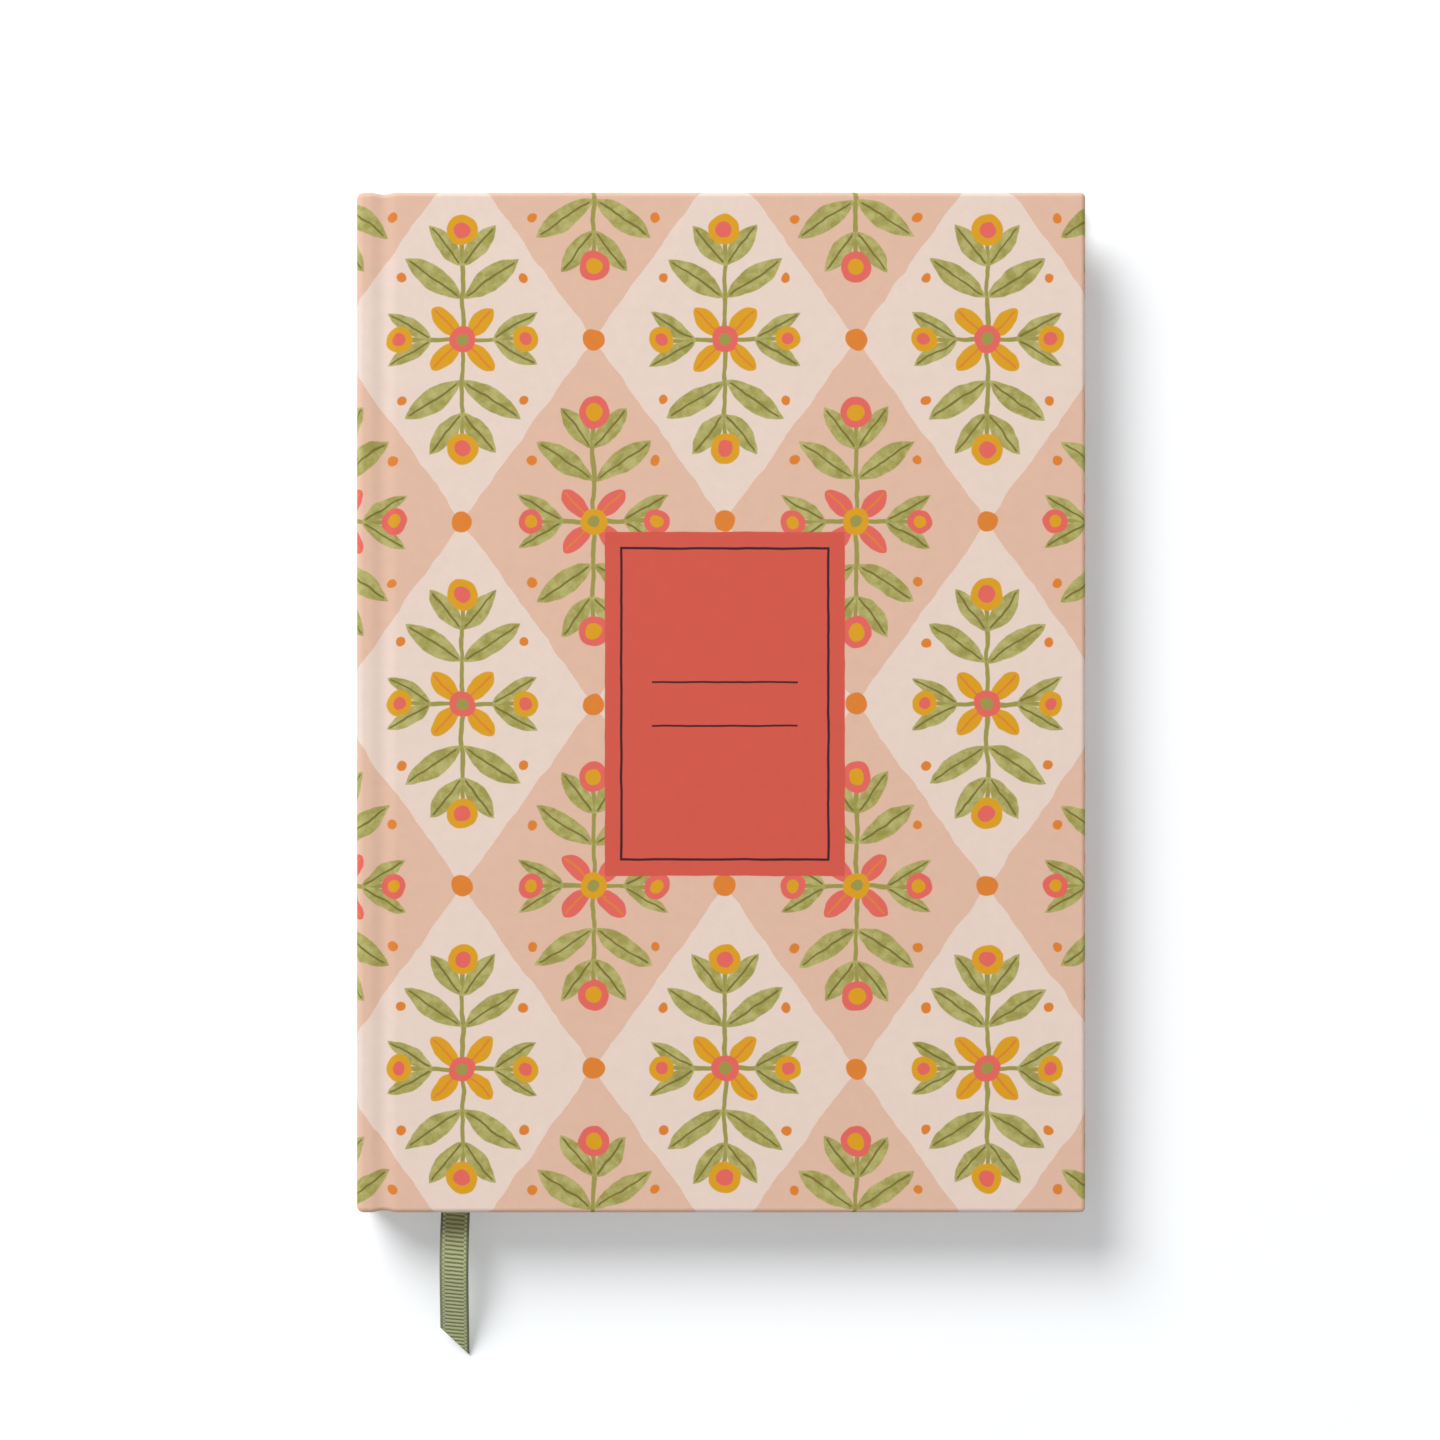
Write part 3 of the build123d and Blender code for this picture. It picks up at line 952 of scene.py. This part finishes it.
def painted_dot(middle, radius):
    """The mask of a round spot in the mirrored quarter of a diamond."""
    here = result(tree, "ShaderNodeCombineXYZ", {0: mirror_x, 1: mirror_y})
    apart = add(tree, "ShaderNodeVectorMath", {0: here, 1: (*middle, 0)}, operation="DISTANCE")
    return within(apart.outputs["Value"], radius, paint_softness)


def painted_stem(reach, across, length):
    """The mask of a straight stem, out from the middle of a diamond."""
    thin = within(across, stem_width / 2, line_softness)
    return calc("MULTIPLY", thin, calc("LESS_THAN", reach, length))


strokes = {"Vector": painted, "Scale": 0.35, "Detail": 5, "Roughness": 0.65}
brush = result(tree, "ShaderNodeTexNoise", strokes)
leaf_green = mix(soft_step(brush, 0.5, brush_softness), leaf_dark, leaf_light)
petal_colour = mix(parity, print_mustard, print_coral)
heart_colour = mix(parity, print_coral, print_mustard)
design = mix(parity, print_cream, print_blush)
design = mix(painted_stem(mirror_y, mirror_x, stem_up), design, leaf_dark)
design = mix(painted_stem(mirror_x, mirror_y, stem_out), design, leaf_dark)
# Each leaf's root, angle, length and width
for root, angle, length, width in (
    ((0.0, 15.0), 52, 11.0, 4.4), ((0.0, 8.5), 34, 14.5, 5.0), ((6.0, 0.0), 30, 11.0, 3.6),
):
    leaf, vein = painted_leaf(root, angle, length, width, leaf_swell)
    design = mix(leaf, design, leaf_green)
    design = mix(vein, design, vein_olive)
petal, vein = painted_leaf((1.0, 1.0), 45, 7.5, 4.2, petal_swell)
design = mix(petal, design, petal_colour)
design = mix(vein, design, print_orange)
# Each spot's middle, radius and colour: the flower's heart, the buds, and the dots between the sprigs
for middle, radius, colour in (
    ((0.0, 0.0), 2.7, heart_colour), ((0.0, 0.0), 1.2, leaf_dark), ((0.0, 22.5), 3.2, petal_colour),
    ((0.0, 22.5), 1.7, heart_colour), ((13.0, 0.0), 2.6, petal_colour), ((13.0, 0.0), 1.3, heart_colour),
    ((12.6, 12.6), 1.0, print_orange), ((0.0, diamond_height / 2), 2.2, print_orange),
    ((diamond_width / 2, 0.0), 2.2, print_orange),
):
    design = mix(painted_dot(middle, radius), design, colour)

label_place = vector_sum("ADD", centred, scaled(wobble, label_wobble_share))
label_x, label_y = flat_parts(label_place)
from_middle_x = calc("ABSOLUTE", label_x)
from_middle_y = calc("ABSOLUTE", label_y)
inside_x = calc("SUBTRACT", label_half[0], from_middle_x)
inside_y = calc("SUBTRACT", label_half[1], from_middle_y)
label_depth = calc("MINIMUM", inside_x, inside_y)
off_border = calc("ABSOLUTE", calc("SUBTRACT", label_depth, label_border))
on_border = within(off_border, label_border_half_width, label_line_softness)
off_row = calc("ABSOLUTE", calc("SUBTRACT", from_middle_y, label_row_spacing / 2))
on_row = within(off_row, label_row_half_width, label_line_softness)
on_row = calc("MULTIPLY", on_row, calc("LESS_THAN", from_middle_x, label_row_half_length))
label_colour = mix(calc("MAXIMUM", on_border, on_row), label_red, label_ink)
design = mix(soft_step(label_depth, 0.0, paint_softness), design, label_colour)
tone = calc("MULTIPLY_ADD", brush, brush_tone, 1.0 - brush_tone / 2)
design = result(tree, "ShaderNodeHueSaturation", {"Color": design, "Value": tone})
finish_paper(shader, place, design, mottle=0.03, relief=0.000008)

book_top = cover_high.z
edge_round = 0.001
edge_segments = 4
turned_zone = edge_round * 1.01
tongue_drop = 1.25 * covering_thickness
spine_round = 0.0016
spine_end_roll = 0.0012
spine_turn_segments = 6
groove_depth = 0.00035
groove_inset = 0.00035
groove_middle = (gutter_start + gutter_end) / 2
strip_columns = 16
roll_steps = 8
strip_turn_in = 0.008


def dress_covering(piece):
    """Gives a sheet of the covering its print and its thickness, with its cut edges crisp."""
    bm = bmesh.new()
    bm.from_mesh(piece.data)
    for edge in bm.edges:
        edge.smooth = not edge.is_boundary
    bm.to_mesh(piece.data)
    bm.free()
    piece.data.materials.append(covering_material)
    paper = piece.modifiers.new("paper", "SOLIDIFY")
    paper.thickness = covering_thickness
    paper.offset = -1.0
    smooth = piece.modifiers.new("even_faces", "WEIGHTED_NORMAL")
    smooth.keep_sharp = True
    return piece


def back_place(x):
    """Where a place on the back of the book falls on the flat print, past the spine."""
    return 2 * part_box("spine_wrap")[0].x - book_top - x


def wrapped_board(name, low, high, outer):
    """The covering of one cover: its face, three turned edges and the mitred turn-ins, with rounded edges.
    Tongues at the ends of the turn-ins close the board's edge beside the groove."""
    bm = bmesh.new()
    inner = high.z if outer == low.z else low.z
    inward = 1 if inner > outer else -1
    reach_x = high.x - covering_thickness - turn_in
    reach_y = high.y - covering_thickness - turn_in
    plan = [(low.x, low.y), (high.x, low.y), (high.x, high.y), (low.x, high.y)]
    opening = [(low.x, -reach_y), (reach_x, -reach_y), (reach_x, reach_y), (low.x, reach_y)]
    face_ring = [bm.verts.new((x, y, outer)) for x, y in plan]
    back_ring = [bm.verts.new((x, y, inner)) for x, y in plan]
    turned = [bm.verts.new((x, y, inner)) for x, y in opening]
    cover_face = bm.faces.new(face_ring)
    for k in range(3):
        bm.faces.new((face_ring[k], face_ring[k + 1], back_ring[k + 1], back_ring[k]))
        bm.faces.new((back_ring[k], back_ring[k + 1], turned[k + 1], turned[k]))
    bmesh.ops.recalc_face_normals(bm, faces=bm.faces)
    bm.normal_update()
    if cover_face.normal.z * inward > 0:
        bmesh.ops.reverse_faces(bm, faces=bm.faces)
    folds = [e for e in bm.edges if len(e.link_faces) == 2 and not set(turned) & set(e.verts)]
    bmesh.ops.bevel(bm, geom=folds, offset=edge_round, segments=edge_segments, profile=0.5, affect="EDGES")
    end_y = high.y - covering_thickness
    strip_floor = outer + inward * (2 * edge_round + tongue_drop)
    outline = [
        (reach_y, inner), (end_y - edge_round, inner), (end_y, inner - inward * edge_round),
        (end_y, strip_floor), (reach_y, strip_floor),
    ]
    for end in (-1, 1):
        tongue = bm.faces.new([bm.verts.new((low.x - covering_thickness, end * y, z)) for y, z in outline])
        tongue.normal_update()
        if tongue.normal.x > 0:
            tongue.normal_flip()

    def unfolded(vertex):
        spot = vertex.co
        drop = abs(outer - spot.z)
        x = spot.x + (drop if spot.x > high.x - turned_zone else 0.0)
        x = low.x - abs(inner - spot.z) if spot.x < low.x else x
        y = spot.y + (math.copysign(drop, spot.y) if abs(spot.y) > high.y - turned_zone else 0.0)
        return x if outer > inner else back_place(x), y

    lay_flat(bm, unfolded)
    return dress_covering(new_piece(name, bm))


def rolled_sheet(name, profile, roll, turned, outward):
    """A sheet that follows a profile across the book, with its ends rolled over and turned in. Each place of
    the profile has its x and z, the way in to the end of the roll, how far the end is drawn in, and its place
    on the print."""
    bm = bmesh.new()
    head = cover_high.y
    half = [(head - turned, 1.0, head + turned)]
    for k in range(roll_steps, -1, -1):
        turn = math.pi * k / roll_steps
        y = head - roll + roll * math.sin(turn)
        half.append((y, (1 - math.cos(turn)) / 2, head - roll + roll * turn))
    rows = [(-y, depth, -v, -1) for y, depth, v in half]
    rows += [(y, depth, v, 1) for y, depth, v in reversed(half)]
    flat = {}
    grid = []
    for x, z, inward_x, inward_z, drawn, u in profile:
        column = []
        for y, depth, v, side in rows:
            corner = bm.verts.new((x + inward_x * depth, y - side * drawn, z + inward_z * depth))
            flat[corner] = (u, v)
            column.append(corner)
        grid.append(column)
    for near, far in zip(grid, grid[1:]):
        for k in range(len(rows) - 1):
            bm.faces.new((near[k], far[k], far[k + 1], near[k + 1]))
    lay_flat(bm, flat.get)
    piece = new_piece(name, bm)
    if sum(f.normal.dot(Vector(outward)) * f.area for f in piece.data.polygons) < 0:
        piece.data.flip_normals()
    return dress_covering(piece)


def groove_profile(start, end, outer, inward):
    """Places across part of a groove, which is a soft dip over the whole of its width."""
    profile = []
    for k in range(strip_columns + 1):
        x = start + (end - start) * k / strip_columns
        dip = 0.5 + 0.5 * math.cos(2 * math.pi * (x - groove_middle) / (gutter_end - gutter_start))
        z = outer + inward * groove_depth * dip
        u = x if inward < 0 else back_place(x)
        profile.append((x, z, 0.0, inward * 2 * edge_round, groove_inset * dip, u))
    return profile


def spine_profile(low, high):
    """Places round the spine, from the front groove to the back one, with rounded long edges."""
    depth_x = high.x - low.x
    depth_z = 2 * edge_round
    bend_x = low.x + spine_round
    profile = [(high.x, high.z, 0.0, -depth_z, 0.0, high.x)]
    u = bend_x
    for bend_z, first in ((high.z - spine_round, 90), (low.z + spine_round, 180)):
        for k in range(spine_turn_segments + 1):
            turn = math.radians(first + 90 * k / spine_turn_segments)
            x = bend_x + spine_round * math.cos(turn)
            z = bend_z + spine_round * math.sin(turn)
            u = u - math.dist((x, z), profile[-1][:2]) if len(profile) > 1 else bend_x
            profile.append((x, z, -math.cos(turn) * depth_x, -math.sin(turn) * depth_z, 0.0, u))
    profile.append((high.x, low.z, 0.0, depth_z, 0.0, back_place(high.x)))
    return profile


for side in ("front", "back"):
    low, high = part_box(f"{side}_cover_wrap")
    cover = wrapped_board(f"{side}_cover_covering", low, high, high.z if side == "front" else low.z)
    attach(cover, f"{side}_cover")
    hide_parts(f"{side}_cover_wrap")
low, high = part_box("spine_wrap")
spine = rolled_sheet("spine_covering", spine_profile(low, high), spine_end_roll, turn_in, (-1, 0, 0))
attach(spine, "spine")
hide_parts("spine_wrap")

# The front joint bends twice, at the spine and at the cover, so its covering is in two halves
for name, strip_node, bodies, start, end in (
    ("back_joint_covering", "back_joint_strip", ("spine", "back_cover"), gutter_start, gutter_end),
    ("front_joint_spine_side", "front_joint_strip", ("spine", "front_block"), gutter_start, groove_middle),
    ("front_joint_cover_side", None, ("front_block", "front_cover"), groove_middle, gutter_end),
):
    outer, inward = (0.0, 1) if name.startswith("back") else (book_top, -1)
    profile = groove_profile(start, end, outer, inward)
    strip = rolled_sheet(name, profile, edge_round, strip_turn_in, (0, 0, -inward))
    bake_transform(strip)
    if strip_node:
        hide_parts(strip_node)


# Floor, light and camera
# A white table under one large soft lamp at the upper left, seen from straight above.
table_size = 6.0
table_drop = 0.0002
table_white = (0.88, 0.9, 0.92, 1.0)
table_glow = 0.207
glow_tint = (0.965, 1.0, 1.025, 1.0)
shadow_reach = 0.2
far_glow = 0.6
ambient = 0.36
lamp_size = 2.4
lamp_energy = 155.0
lamp_place = (-1.74, 2.45, 2.64)
frame_width = 0.2962
frame_middle = (-0.0002, -0.0036)
lens = 100.0
sensor = 36.0
scene = bpy.context.scene
scene.view_settings.view_transform = "Standard"


def seen_share(tree):
    """1 for what is looked at, also in a shine or through glass, and 0 for light that falls on the book."""
    ray = add(tree, "ShaderNodeLightPath").outputs
    shine = calc("MAXIMUM", ray["Is Glossy Ray"], ray["Is Transmission Ray"])
    return calc("MAXIMUM", ray["Is Camera Ray"], shine)


world = bpy.data.worlds.new("studio")
scene.world = world
world.use_nodes = True
tree = world.node_tree
background = tree.nodes["Background"]
background.inputs["Color"].default_value = (1.0, 1.0, 1.0, 1.0)
sky = calc("MULTIPLY_ADD", seen_share(tree), 1.0 - ambient, ambient)
link(sky, background.inputs["Strength"])

bpy.ops.mesh.primitive_plane_add(size=table_size, location=(0, 0, -table_drop))
floor = bpy.context.object
floor.name = "floor"
floor_material = bpy.data.materials.new("white_table")
floor_material.use_nodes = True
tree = floor_material.node_tree
tree.nodes.remove(tree.nodes["Principled BSDF"])
matt = add(tree, "ShaderNodeBsdfDiffuse", {"Color": table_white})
glow = add(tree, "ShaderNodeEmission", {"Color": glow_tint})
outward = add(tree, "ShaderNodeVectorMath", {0: object_place(tree)}, operation="LENGTH").outputs["Value"]
beyond = calc("MAXIMUM", calc("SUBTRACT", outward, shadow_reach), 0.0)
shine = calc("MULTIPLY_ADD", beyond, far_glow, table_glow)
link(calc("MULTIPLY", seen_share(tree), shine), glow.inputs["Strength"])
joined = add(tree, "ShaderNodeAddShader", {0: matt.outputs[0], 1: glow.outputs[0]})
link(joined.outputs[0], tree.nodes["Material Output"].inputs["Surface"])
floor.data.materials.append(floor_material)

key = bpy.data.lights.new("key", "AREA")
key.shape = "DISK"
key.size = lamp_size
key.energy = lamp_energy
key_object = new_object("key", key)
key_object.location = lamp_place
key_object.rotation_euler = (-key_object.location).to_track_quat("-Z", "Y").to_euler()

camera = bpy.data.cameras.new("camera")
camera.lens = lens
camera.sensor_width = sensor
camera_object = new_object("camera", camera)
camera_object.location = (*frame_middle, book_top + frame_width * lens / sensor)
scene.camera = camera_object
